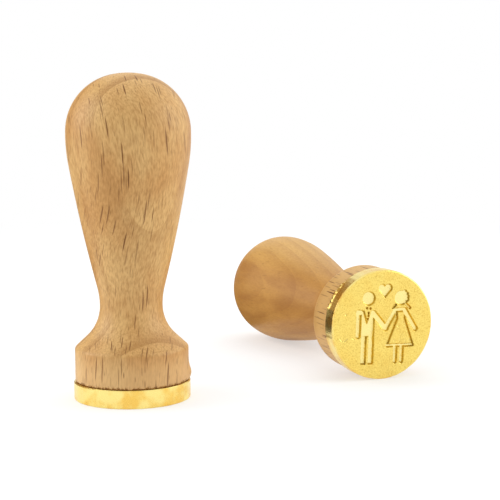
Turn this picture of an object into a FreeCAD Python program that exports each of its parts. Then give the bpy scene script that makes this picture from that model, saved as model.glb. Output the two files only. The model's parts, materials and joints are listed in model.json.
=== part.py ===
"""Wax seal stamps: one standing on its seal, one lying on its side.

Each stamp is a turned wooden handle with a threaded insert in its foot, and an engraved brass
seal head that screws onto it with a stud. All lengths are in millimetres and angles in degrees.
The origin is the centre of the standing seal's face, with +Z up along that stamp's axis.
"""
import FreeCAD, Part
import math
import os

from FreeCAD import Placement, Rotation, Vector

# Seal head
seal_diameter = 25.0
seal_thickness = 3.9
seal_edge_round = 0.35
seal_back_chamfer = 0.2
seat_floor = 1.5

# Engraved picture, on a grid where 100 units reach the picture's border
picture_margin = 1.6
picture_right = 0.15
picture_up = 0.4
engraving_depth = 0.7

# Turned handle
collar_diameter = 24.4
collar_height = 7.2
collar_edge_round = 0.8
foot_chamfer = 0.3
shoulder_angle = 47.0
cove_radius = 9.0
neck_diameter = 13.5
flare_radius = 16.0
body_radius = 334.0
bulb_diameter = 26.6
bulb_rise = 36.3
bulb_side_radius = 36.6
dome_rise = 13.1
dome_corner_inset = 1.0
crown_flatness = 5.1

# Stud and insert
stud_diameter = 6.0
stud_reach = 10.0
stud_chamfer = 0.5
stud_end_gap = 0.2
thread_clearance = 0.05
insert_diameter = 9.0
insert_length = 11.0
insert_recess = 0.3
insert_slot_width = 1.2
insert_slot_depth = 1.5
pilot_clearance = 0.4
pilot_end_room = 1.2

# Where the lying stamp's face centre is, how far its face is turned from the front, and its roll
lying_x = 55.3
lying_y = 16.2
lying_heading = 21.5
lying_roll = 2.0

# Sizes worked out from those above
seal_radius = seal_diameter / 2
collar_radius = collar_diameter / 2
neck_radius = neck_diameter / 2
bulb_radius = bulb_diameter / 2
dome_corner_radius = bulb_radius - dome_corner_inset
crown_radius = dome_corner_radius + crown_flatness
stud_radius = stud_diameter / 2
insert_radius = insert_diameter / 2
thread_radius = stud_radius + thread_clearance
foot_z = seal_thickness
collar_top_z = foot_z + collar_height
picture_unit = (seal_radius - picture_margin) / 100

# Picture strokes: start, end and half width
STROKES = {
    "groom_outer_arm": ((-56, 24), (-56, -26), 5),
    "groom_shoulder": ((-56, 22), (-50, 22), 6),
    "groom_inner_arm": ((-22, 21), (7, -11), 6),
    "bride_inner_arm": ((28, 25), (7, -11), 5),
    "bride_neckline": ((28, 26), (50, 27), 4),
    "bride_outer_arm": ((51, 24), (76, -14), 5),
    "bride_bodice_left": ((30, 23), (32, 8), 2),
    "bride_bodice_right": ((51, 24), (49, 9), 2),
    "dress_left": ((32, 8), (12, -44), 2),
    "dress_right": ((49, 9), (69, -44), 2),
    "dress_hem": ((11, -48), (70, -48), 3),
    "bride_left_leg": ((31, -50), (31, -82), 4),
    "bride_right_leg": ((46, -50), (46, -82), 4),
}

# Picture discs: centre and radius
DISCS = {
    "groom_head": ((-34, 52), 14),
    "bride_head": ((41, 52), 15),
    "heart_left_lobe": ((-4, 73), 8),
    "heart_right_lobe": ((10, 73), 8),
}

# Picture areas with straight sides
AREAS = {
    "groom_jacket": ((-48, 26), (-20, 26), (-20, -28), (-48, -28)),
    "groom_left_leg": ((-48, -26), (-37, -26), (-37, -85), (-48, -85)),
    "groom_right_leg": ((-31, -26), (-20, -26), (-20, -85), (-31, -85)),
    "heart_point": ((-10, 68), (3, 73), (16, 68), (3, 53)),
}

# Shirt front, left standing inside the jacket
SHIRT = ((-46, 32), (-24, 32), (-35, -1))


def ring_point(radius, height):
    """Point of a turned profile, which lies in the XZ plane."""
    return Vector(radius, 0, height)


def profile_arc(centre, radius, start, end):
    """Arc of a turned profile about centre (radius, height), between two angles in radians."""

    def at(angle):
        return ring_point(centre[0] + radius * math.cos(angle), centre[1] + radius * math.sin(angle))

    return Part.Arc(at(start), at((start + end) / 2), at(end)).toShape()


def bearing(start, end):
    """Angle in radians of the way from one profile point to another, from minus to plus a half turn."""
    return math.atan2(end[1] - start[1], end[0] - start[0])


def circles_meet(first, first_radius, second, second_radius):
    """Both points where two circles of the profile plane cross."""
    gap = math.dist(first, second)
    along = (first_radius ** 2 - second_radius ** 2 + gap ** 2) / (2 * gap)
    aside = math.sqrt(first_radius ** 2 - along ** 2)
    way = ((second[0] - first[0]) / gap, (second[1] - first[1]) / gap)
    foot = (first[0] + along * way[0], first[1] + along * way[1])
    shift = (-aside * way[1], aside * way[0])
    return (foot[0] + shift[0], foot[1] + shift[1]), (foot[0] - shift[0], foot[1] - shift[1])


def turned(edges):
    """Solid of revolution about Z from profile edges, with straight edges across the gaps."""
    chain = [edges[0]]
    for edge in edges[1:] + edges[:1]:
        here = chain[-1].lastVertex(True).Point
        there = edge.firstVertex(True).Point
        if here.distanceToPoint(there) > 1e-6:
            chain.append(Part.LineSegment(here, there).toShape())
        chain.append(edge)
    face = Part.Face(Part.Wire(chain[:-1]))
    return face.revolve(Vector(0, 0, 0), Vector(0, 0, 1), 360)


def straight(*points):
    """Straight profile edges through the points, each (radius, height)."""
    corners = [ring_point(*point) for point in points]
    return [Part.LineSegment(start, end).toShape() for start, end in zip(corners, corners[1:])]


def shoulder_and_cove():
    """Edges from the collar's side over its shoulder into the cove, and the neck's height.

    The shoulder is a straight slope. It is rounded into the collar's side at its foot, and runs
    into the cove, which ends upright at the neck.
    """
    slope = math.radians(shoulder_angle)
    half = math.tan(slope / 2)
    edge_centre = (collar_radius - collar_edge_round, collar_top_z - collar_edge_round * half)
    corner_z = collar_top_z + (collar_radius - neck_radius) / math.tan(slope)
    neck_z = corner_z + cove_radius * half
    cove_centre = (neck_radius + cove_radius, neck_z)
    edges = [
        profile_arc(edge_centre, collar_edge_round, 0, slope),
        profile_arc(cove_centre, cove_radius, math.pi + slope, math.pi),
    ]
    return edges, neck_z


neck_z = shoulder_and_cove()[1]
bulb_z = neck_z + bulb_rise
top_z = bulb_z + dome_rise
bulb_side_centre = (bulb_radius - bulb_side_radius, bulb_z)


def body_and_dome():
    """Edges from the neck up the swelling body and over the domed top, each tangent to the next."""
    flare = (neck_radius + flare_radius, neck_z)
    side = bulb_side_centre
    crown = (0, top_z - crown_radius)
    body = min(circles_meet(side, body_radius - bulb_side_radius, flare, body_radius + flare_radius),
               key=lambda point: point[0])
    corner = max(circles_meet(side, bulb_side_radius - dome_corner_radius,
                              crown, crown_radius - dome_corner_radius), key=lambda point: point[0])
    return [
        profile_arc(flare, flare_radius, math.pi, math.pi + bearing(body, flare)),
        profile_arc(body, body_radius, bearing(body, flare), bearing(body, side)),
        profile_arc(side, bulb_side_radius, bearing(body, side), bearing(side, corner)),
        profile_arc(corner, dome_corner_radius, bearing(side, corner), bearing(crown, corner)),
        profile_arc(crown, crown_radius, bearing(crown, corner), math.pi / 2),
    ]


def make_handle():
    """Turned handle, bored from its foot for the insert and the end of the stud."""
    insert_end_z = foot_z + insert_recess + insert_length
    pilot_end_z = max(insert_end_z, foot_z + stud_reach) + pilot_end_room
    pilot_radius = stud_radius + pilot_clearance
    bore = straight((0, pilot_end_z), (pilot_radius, pilot_end_z), (pilot_radius, insert_end_z),
                    (insert_radius, insert_end_z), (insert_radius, foot_z))
    foot = straight((collar_radius - foot_chamfer, foot_z), (collar_radius, foot_z + foot_chamfer))
    return turned(bore + foot + shoulder_and_cove()[0] + body_and_dome())


def make_insert():
    """Threaded insert: a plain sleeve with a driver slot across its mouth."""
    low = foot_z + insert_recess
    sleeve = Part.makeCylinder(insert_radius, insert_length, Vector(0, 0, low))
    hole = Part.makeCylinder(thread_radius, insert_length, Vector(0, 0, low))
    slot = Part.makeBox(insert_slot_width, insert_diameter, insert_slot_depth,
                        Vector(-insert_slot_width / 2, -insert_radius, low))
    return sleeve.cut(hole).cut(slot)


def make_stud():
    """Stud from the seat in the seal head to the inside of the insert, chamfered at both ends."""
    low = seat_floor + stud_end_gap
    high = foot_z + stud_reach
    tip = stud_radius - stud_chamfer
    return turned(straight((0, low), (tip, low), (stud_radius, low + stud_chamfer),
                           (stud_radius, high - stud_chamfer), (tip, high), (0, high)))


def picture_point(across, up):
    """Point of the seal's face at a place in the picture, which is upright seen with -Y at the top."""
    return Vector(across * picture_unit + picture_right, -up * picture_unit - picture_up, 0)


def picture_area(corners):
    """Flat face with straight sides through picture points."""
    points = [picture_point(*corner) for corner in corners]
    return Part.Face(Part.makePolygon(points + points[:1]))


def picture_disc(centre, radius):
    """Flat round face of the picture."""
    circle = Part.Circle(picture_point(*centre), Vector(0, 0, 1), radius * picture_unit)
    return Part.Face(Part.Wire(circle.toShape()))


def picture_stroke(start, end, half_width):
    """Flat bar of the picture with round ends."""
    first = picture_point(*start)
    last = picture_point(*end)
    along = (last - first).normalize() * half_width * picture_unit
    aside = Vector(-along.y, along.x, 0)
    return Part.Face(Part.Wire([
        Part.LineSegment(first + aside, last + aside).toShape(),
        Part.Arc(last + aside, last + along, last - aside).toShape(),
        Part.LineSegment(last - aside, first - aside).toShape(),
        Part.Arc(first - aside, first - along, first + aside).toShape(),
    ]))


def make_engraving():
    """Cutter for the sunken picture: a couple hand in hand under a heart."""
    faces = [picture_area(corners) for corners in AREAS.values()]
    faces += [picture_disc(*disc) for disc in DISCS.values()]
    faces += [picture_stroke(*stroke) for stroke in STROKES.values()]
    cutters = [face.extrude(Vector(0, 0, engraving_depth)) for face in faces]
    shirt = picture_area(SHIRT).extrude(Vector(0, 0, engraving_depth))
    return cutters[0].cut(shirt).multiFuse(cutters[1:]).removeSplitter()


def make_seal_head():
    """Brass seal head: a thick disc, rounded at its face, with a seat for the stud in its back."""
    seat_radius = thread_radius
    rim = profile_arc((seal_radius - seal_edge_round, seal_edge_round), seal_edge_round, -math.pi / 2, 0)
    back = straight((seal_radius, seal_thickness - seal_back_chamfer),
                    (seal_radius - seal_back_chamfer, seal_thickness), (seat_radius, seal_thickness),
                    (seat_radius, seat_floor), (0, seat_floor), (0, 0))
    return turned([rim] + back).cut(make_engraving())


def lying_placement():
    """Placement of the lying stamp, which touches the floor with its seal's rim and its bulb.

    In the plane of its axis the floor is the common tangent of the rim's round and the bulb's side.
    """
    rim = (seal_edge_round, seal_radius - seal_edge_round)
    side = (bulb_side_centre[1], bulb_side_centre[0])
    reach = math.dist(rim, side)
    rise = math.atan2(side[1] - rim[1], side[0] - rim[0])
    tilt = rise + math.asin((bulb_side_radius - seal_edge_round) / reach)
    height = rim[1] * math.cos(tilt) - rim[0] * math.sin(tilt) + seal_edge_round
    laid_down = Rotation(Vector(1, 0, 0), math.degrees(tilt) - 90)
    turned_aside = Rotation(Vector(0, 0, 1), lying_heading)
    rolled = Rotation(Vector(0, 0, 1), lying_roll)
    return Placement(Vector(lying_x, lying_y, height), turned_aside * laid_down * rolled)


MAKERS = {
    "handle": make_handle,
    "insert": make_insert,
    "stud": make_stud,
    "seal_head": make_seal_head,
}

PLACES = {
    "standing": Placement(),
    "lying": lying_placement(),
}


def main():
    """Write one STEP file for each piece of each stamp."""
    os.makedirs("parts", exist_ok=True)
    for piece, make in MAKERS.items():
        shape = make()
        for stamp, place in PLACES.items():
            laid = shape.copy()
            laid.Placement = place.multiply(laid.Placement)
            laid.exportStep(f"parts/{stamp}_{piece}.step")
            box = laid.BoundBox
            print(stamp, piece, "valid" if laid.isValid() else "NOT VALID", len(laid.Solids), "solid,",
                  f"volume {laid.Volume:.1f}, z {box.ZMin:.3f} to {box.ZMax:.3f}")
    print(f"neck at {neck_z:.2f}, bulb at {bulb_z:.2f}, top at {top_z:.2f}")


main()
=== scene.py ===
"""Looks of a set of wax seal stamps: one stands on its seal, the other lies on its side.

Each stamp has a turned beech handle, a thick brass seal head with a sunken picture on its face, a zinc
plated stud, and a slotted brass insert in the handle's foot. Sizes are in millimetres in a stamp's own
frame: the centre of the seal's face is its origin, and +Z runs up its axis to the handle. Meshes are in
metres. In a finish, a pair of edges is where a colour starts and where it is full, a weight is its greatest
share, gloss is the least and greatest roughness, and relief is the strength and depth of a fine bump.
"""
from __future__ import annotations

import json
import logging
import math
from dataclasses import dataclass, field
from enum import Enum
from typing import Any

import bpy
import numpy as np
from mathutils import Matrix


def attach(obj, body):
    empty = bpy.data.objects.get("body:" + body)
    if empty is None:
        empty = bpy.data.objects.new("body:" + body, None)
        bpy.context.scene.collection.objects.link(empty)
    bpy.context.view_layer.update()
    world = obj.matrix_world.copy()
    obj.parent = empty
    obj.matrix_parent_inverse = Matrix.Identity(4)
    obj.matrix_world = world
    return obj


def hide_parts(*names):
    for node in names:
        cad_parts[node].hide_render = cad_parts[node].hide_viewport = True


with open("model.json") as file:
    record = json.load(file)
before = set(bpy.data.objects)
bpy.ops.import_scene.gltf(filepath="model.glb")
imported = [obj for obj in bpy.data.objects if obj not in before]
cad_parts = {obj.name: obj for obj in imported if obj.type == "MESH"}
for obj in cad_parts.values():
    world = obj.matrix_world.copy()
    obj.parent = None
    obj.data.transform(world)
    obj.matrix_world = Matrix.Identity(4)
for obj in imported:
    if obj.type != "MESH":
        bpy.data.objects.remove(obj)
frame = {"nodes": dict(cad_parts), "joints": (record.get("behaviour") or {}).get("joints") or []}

LOG = logging.getLogger("stamps")
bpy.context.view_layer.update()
MM = 0.001
TURN = 2 * math.pi
TINY = 1e-6
LYING_ROLL = 2.0
LATTICE = 256
WHITE = (1, 1, 1, 1)
SMOOTH = {"interpolation_type": "SMOOTHSTEP"}

Point = tuple[float, float]
Spot = tuple[float, float, float]
Stroke = tuple[Point, Point, float]
Socket = bpy.types.NodeSocket
Links = dict[str | int, Any] | list[Any]


class Stance(Enum):
    """How a stamp is set down; the value starts the names of its nodes."""

    STANDING = "standing"
    LYING = "lying"


HANDLE_SEEDS = {Stance.STANDING: 11, Stance.LYING: 23}
FACE_SEEDS = {Stance.STANDING: 5, Stance.LYING: 7}
WALL_SEEDS = {Stance.STANDING: 31, Stance.LYING: 37}


def linear(colour: str) -> tuple[float, float, float, float]:
    """Linear colour of an sRGB hex value.

    Args:
        colour: six hex digits after a number sign.

    Returns:
        Red, green, blue and an alpha of one.
    """
    parts = [int(colour[at:at + 2], 16) / 255 for at in (1, 3, 5)]
    red, green, blue = (c / 12.92 if c <= 0.04045 else ((c + 0.055) / 1.055) ** 2.4 for c in parts)
    return red, green, blue, 1.0


def add(tree: bpy.types.NodeTree, kind: str, links: Links, output: str | int = 0, **settings: Any) -> Socket:
    """Add a node to a tree.

    Args:
        tree: the tree that gets the node.
        kind: the node's Blender type after the words ShaderNode.
        links: for each input, by name or number or in their order, a socket to link it to or a value to set.
        output: name or number of the output to give back.
        settings: properties of the node.

    Returns:
        That output of the new node.
    """
    node = tree.nodes.new(f"ShaderNode{kind}")
    for key, value in settings.items():
        setattr(node, key, value)
    for key, value in links.items() if isinstance(links, dict) else enumerate(links):
        if isinstance(value, Socket):
            tree.links.new(value, node.inputs[key])
        else:
            node.inputs[key].default_value = value
    return node.outputs[output]


def new_material(name: str, constants: dict[str, Any]) -> tuple[bpy.types.Material, bpy.types.Node]:
    """New material whose shader holds the values that are the same all over.

    Args:
        name: name of the material.
        constants: value of each of those sockets of the shader.

    Returns:
        The material and its shader.
    """
    material = bpy.data.materials.new(name)
    material.use_nodes = True
    shader = material.node_tree.nodes["Principled BSDF"]
    for key, value in constants.items():
        shader.inputs[key].default_value = value
    return material, shader


def coat(shader: bpy.types.Node, base: str, layers: list[tuple[Socket, str]], gloss: tuple[Socket, Point],
         relief: tuple[Socket, Point]) -> None:
    """Lay colours over each other, and give the shader their sum, a gloss and a fine relief.

    Args:
        shader: the shader of the material.
        base: sRGB hex colour under all layers.
        layers: share and sRGB hex colour of each layer, the lowest first.
        gloss: a pattern, and the roughness where it is 0 and where it is 1.
        relief: a pattern of heights, and its strength and its depth in millimetres.
    """
    tree = shader.id_data
    colour = linear(base)
    for share, over in layers:
        colour = add(tree, "Mix", {0: share, 6: colour, 7: linear(over)}, 2, data_type="RGBA")
    roughness = add(tree, "MapRange", [gloss[0], 0, 1, *gloss[1]])
    strength, depth = relief[1]
    bump = add(tree, "Bump", {"Height": relief[0], "Strength": strength, "Distance": depth * MM})
    for key, result in (("Base Color", colour), ("Roughness", roughness), ("Normal", bump)):
        tree.links.new(result, shader.inputs[key])


def per_metre(*sides: float) -> tuple[float, ...]:
    """How many cells of a pattern fit in a metre along each axis, from a cell's sides in millimetres."""
    return tuple(1 / (side * MM) for side in sides)


def ease(value: np.ndarray, start: float, end: float) -> np.ndarray:
    """Smooth step from 0 at start to 1 at end."""
    part = np.clip((value - start) / (end - start), 0, 1)
    return part * part * (3 - 2 * part)


def wavy(angle: np.ndarray, waves: tuple[int, int], seed: int) -> np.ndarray:
    """Smooth random ripple round a full turn: a sum of cosines of whole wave numbers with random phases.

    Args:
        angle: angles in radians.
        waves: lowest and highest wave number.
        seed: seed of the random phases and sizes.

    Returns:
        Ripple of about unit size at each angle.
    """
    draw = np.random.default_rng(seed)
    numbers = np.arange(waves[0], waves[1] + 1)
    phases = draw.uniform(0, TURN, numbers.size)
    sizes = draw.uniform(0.4, 1.0, numbers.size)
    total = np.cos(angle[..., None] * numbers + phases) @ sizes
    return total / math.sqrt(0.5 * np.sum(sizes ** 2))


def rough(across: np.ndarray, up: np.ndarray, cell: float, seed: int) -> np.ndarray:
    """Value noise: random heights on a square lattice with smooth steps between them.

    Args:
        across: first coordinate of each point.
        up: second coordinate of each point.
        cell: lattice spacing, in the same unit.
        seed: seed of the heights.

    Returns:
        Noise from -1 to 1 at each point.
    """
    heights = np.random.default_rng(seed).uniform(-1, 1, (LATTICE, LATTICE))
    column = np.floor(across / cell)
    row = np.floor(up / cell)
    right = ease(across / cell - column, 0, 1)
    above = ease(up / cell - row, 0, 1)
    column = column.astype(int) % LATTICE
    row = row.astype(int) % LATTICE
    beside = (column + 1) % LATTICE
    low, high = (heights[at, column] * (1 - right) + heights[at, beside] * right
                 for at in (row, (row + 1) % LATTICE))
    return low * (1 - above) + high * above


def turn_from(angle: np.ndarray, degrees: float) -> np.ndarray:
    """Signed turn in radians from a bearing in degrees to each angle, the short way round."""
    return np.angle(np.exp(1j * (angle - math.radians(degrees))))


@dataclass(frozen=True)
class Place:
    """Where a stamp is: the row frame's place of its origin, and its axes as the columns of a matrix."""

    origin: np.ndarray
    axes: np.ndarray

    @classmethod
    def of(cls, stance: Stance) -> Place:
        """Place of a stamp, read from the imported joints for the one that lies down.

        Args:
            stance: which stamp.

        Returns:
            Its place. A lying stamp's axis is its head's screw axis reversed, and its X is level but for its
            roll.
        """
        if stance is Stance.STANDING:
            return cls(np.zeros(3), np.eye(3))
        joint = next(j for j in frame["joints"] if j["name"] == "lying_head_turn")
        up_axis = -np.array(joint["axis"])
        up_axis /= np.linalg.norm(up_axis)
        level = np.cross(up_axis, (0, 0, 1))
        level /= np.linalg.norm(level)
        axes = np.stack([level, np.cross(up_axis, level), up_axis], axis=1)
        roll = np.array(Matrix.Rotation(math.radians(LYING_ROLL), 3, "Z"))
        return cls(np.array(joint["pos_m"]) / MM, axes @ roll)

    def in_row(self, points: np.ndarray) -> np.ndarray:
        """Points of the stamp's own frame, in millimetres, moved to the row frame in metres."""
        return (points @ self.axes.T + self.origin) * MM

    def coordinates(self, tree: bpy.types.NodeTree, heading: float = 0.0) -> Socket:
        """Coordinates along the stamp's own axes, which turn a pattern with the stamp.

        Args:
            tree: the material's tree.
            heading: turn about the stamp's axis in degrees.

        Returns:
            The coordinates in metres.
        """
        turn = Matrix(self.axes.tolist()) @ Matrix.Rotation(math.radians(heading), 3, "Z")
        links = {"Vector": add(tree, "TexCoord", [], "Object"), "Location": tuple(self.origin * MM),
                 "Rotation": turn.to_euler()}
        return add(tree, "Mapping", links, vector_type="TEXTURE")


def piece_of(name: str, points: np.ndarray, faces: list[list[int]],
             crease: float = 40.0) -> bpy.types.Object:
    """Object with one mesh, smooth but for edges sharper than the crease angle.

    Args:
        name: name of the piece.
        points: vertices in metres in the row frame.
        faces: vertex numbers of each face, counter-clockwise from outside.
        crease: angle in degrees.

    Returns:
        The object, linked to the scene.
    """
    mesh = bpy.data.meshes.new(name)
    mesh.from_pydata(points.tolist(), [], faces)
    mesh.polygons.foreach_set("use_smooth", np.ones(len(mesh.polygons), dtype=bool))
    mesh.set_sharp_from_angle(angle=math.radians(crease))
    mesh.update()
    piece = bpy.data.objects.new(name, mesh)
    bpy.context.scene.collection.objects.link(piece)
    return piece


def note(piece: bpy.types.Object, key: str, values: np.ndarray) -> None:
    """Keep a number for each vertex of a piece as an attribute that its material reads."""
    attribute = piece.data.attributes.new(key, "FLOAT", "POINT")
    attribute.data.foreach_set("value", values.astype(np.float32))


def ring_points(radius: np.ndarray, height: np.ndarray, angle: np.ndarray) -> np.ndarray:
    """Points of a grid of radii and heights by angles, as rows of x, y and z."""
    return np.stack([radius * np.cos(angle), radius * np.sin(angle), height], axis=-1).reshape(-1, 3)


def band_faces(loops: np.ndarray) -> list[list[int]]:
    """Quads between each closed loop of vertex numbers and the next, all running the same way upwards."""
    ahead = np.roll(loops, -1, axis=1)
    return np.stack([loops[:-1], ahead[:-1], ahead[1:], loops[1:]], axis=-1).reshape(-1, 4).tolist()


def fan_faces(loop: np.ndarray, tip: int, upward: bool) -> list[list[int]]:
    """Triangles from a closed loop to one point on the axis.

    Args:
        loop: vertex numbers of the loop, counter-clockwise seen from above.
        tip: vertex number of the point.
        upward: whether the triangles face up the axis or down it.

    Returns:
        Vertex numbers of each triangle.
    """
    ahead = np.roll(loop, -1)
    first, second = (loop, ahead) if upward else (ahead, loop)
    return np.stack([first, second, np.full_like(loop, tip)], axis=1).tolist()


def turned(name: str, radius: np.ndarray, height: np.ndarray, angle: np.ndarray, ends: Point,
           place: Place) -> bpy.types.Object:
    """Closed surface of revolution: radius and height on a grid of profile steps by angles, with two poles.

    Args:
        name: name of the piece.
        radius: distance from the axis at each profile step and angle.
        height: height along the axis at each profile step and angle.
        angle: the angles, counter-clockwise seen from above.
        ends: heights of the first and last pole on the axis.
        place: where the stamp is.

    Returns:
        The piece. Its profile runs with the solid on its left, so that the faces point outwards.
    """
    loops = np.arange(radius.size).reshape(radius.shape)
    points = np.vstack([ring_points(radius, height, angle), [(0, 0, end) for end in ends]])
    faces = fan_faces(loops[0], radius.size, upward=False)
    faces += band_faces(loops)
    faces += fan_faces(loops[-1], radius.size + 1, upward=True)
    return piece_of(name, place.in_row(points), faces)


def arc(centre: Point, radius: float, start: float, end: float, step: float) -> np.ndarray:
    """Points of a profile arc, about one step apart.

    Args:
        centre: radius and height of the arc's centre.
        radius: the arc's own radius.
        start: first angle in radians.
        end: last angle in radians.
        step: spacing along the arc.

    Returns:
        Radius and height of each point.
    """
    count = max(3, int(abs(end - start) * radius / step) + 1)
    angle = np.linspace(start, end, count)
    return np.stack([centre[0] + radius * np.cos(angle), centre[1] + radius * np.sin(angle)], axis=1)


def run(*corners: Point, step: float) -> np.ndarray:
    """Points of straight profile runs, about one step apart.

    Args:
        corners: radius and height of each corner.
        step: spacing along the runs.

    Returns:
        Radius and height of each point.
    """
    pieces = []
    for start, end in zip(corners, corners[1:]):
        count = max(2, int(math.dist(start, end) / step) + 2)
        pieces.append(np.linspace(start, end, count)[:-1])
    return np.vstack([*pieces, [corners[-1]]])


def circles_meet(first: Point, first_radius: float, second: Point, second_radius: float) -> list[Point]:
    """Where two circles of the profile plane cross, from the triangle of both radii and the centres' gap.

    Args:
        first: centre of the first circle.
        first_radius: its radius.
        second: centre of the second circle.
        second_radius: its radius.

    Returns:
        Both points, the one nearer the axis first.
    """
    gap = math.dist(first, second)
    along = (first_radius ** 2 - second_radius ** 2 + gap ** 2) / (2 * gap)
    aside = math.sqrt(first_radius ** 2 - along ** 2)
    way = ((second[0] - first[0]) / gap, (second[1] - first[1]) / gap)
    foot = (first[0] + along * way[0], first[1] + along * way[1])
    return sorted((foot[0] + side * aside * way[1], foot[1] - side * aside * way[0]) for side in (-1, 1))


def bearing(start: Point, end: Point) -> float:
    """Angle in radians of the way from one profile point to another."""
    return math.atan2(end[1] - start[1], end[0] - start[0])


@dataclass(frozen=True)
class Dashes:
    """Short dark dashes along the grain, each in its cell of a random pattern.

    Gap, depth and length are a cell's sides, share is the part of the cells that show a dash, and weight
    is the strength of the darkest. Swell and taper are the half widths of the widest and the narrowest as
    parts of a cell, and start is a shift in cells that picks another scatter. Faint is the strength of the
    faintest as a part of the weight, and soft is where an edge starts and ends.
    """

    gap: float
    depth: float
    length: float
    share: float
    weight: float
    swell: float = 0.27
    start: float = 0.0
    taper: float = -0.08
    faint: float = 0.4
    soft: Point = (-0.10, 0.06)

    def drawn(self, tree: bpy.types.NodeTree, spot: Socket) -> Socket:
        """Dashes as the points nearer to the middle of their cell than half a dash is wide.

        Args:
            tree: the material's tree.
            spot: coordinates whose third axis runs along the dashes.

        Returns:
            Strength of the dash at each point.
        """
        size = per_metre(self.gap, self.depth, self.length)
        cell = add(tree, "VectorMath", [spot, size, (self.start,) * 3], operation="MULTIPLY_ADD")
        away, draw = add(tree, "TexVoronoi", {"Vector": cell, "Scale": 1.0, "Randomness": 1.0},
                         voronoi_dimensions="3D", feature="F1").node.outputs[:2]
        wide, strong = add(tree, "SeparateColor", [draw]).node.outputs[:2]
        width = add(tree, "MapRange", [wide, 1 - self.share, 1, self.taper, self.swell])
        inside = add(tree, "Math", [width, away], operation="SUBTRACT")
        firm = add(tree, "MapRange", [strong, 0, 1, self.faint * self.weight, self.weight])
        return add(tree, "MapRange", [inside, *self.soft, 0, firm], **SMOOTH)


@dataclass(frozen=True)
class Blank:
    """Coordinates that the wood of one handle is drawn on, in metres.

    Own runs along the stamp's axes and is turned by the blank's heading, x and z are parts of it, and out
    is the distance from the axis. Unrolled is the way round the foot's rim, then out, then z.
    """

    tree: bpy.types.NodeTree
    own: Socket
    x: Socket
    z: Socket
    out: Socket
    unrolled: Socket

    @classmethod
    def of(cls, tree: bpy.types.NodeTree, own: Socket, rim: float) -> Blank:
        """Coordinates worked out from a stamp's own.

        Args:
            tree: the material's tree.
            own: the stamp's own coordinates.
            rim: radius of the foot's rim in millimetres.

        Returns:
            The coordinates.
        """
        x, y, z = add(tree, "SeparateXYZ", [own]).node.outputs
        out = add(tree, "VectorMath", [add(tree, "CombineXYZ", [x, y])], "Value", operation="LENGTH")
        angle = add(tree, "Math", [y, x], operation="ARCTAN2")
        along = add(tree, "Math", [angle, rim * MM], operation="MULTIPLY")
        return cls(tree, own, x, z, out, add(tree, "CombineXYZ", [along, out, z]))


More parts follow.
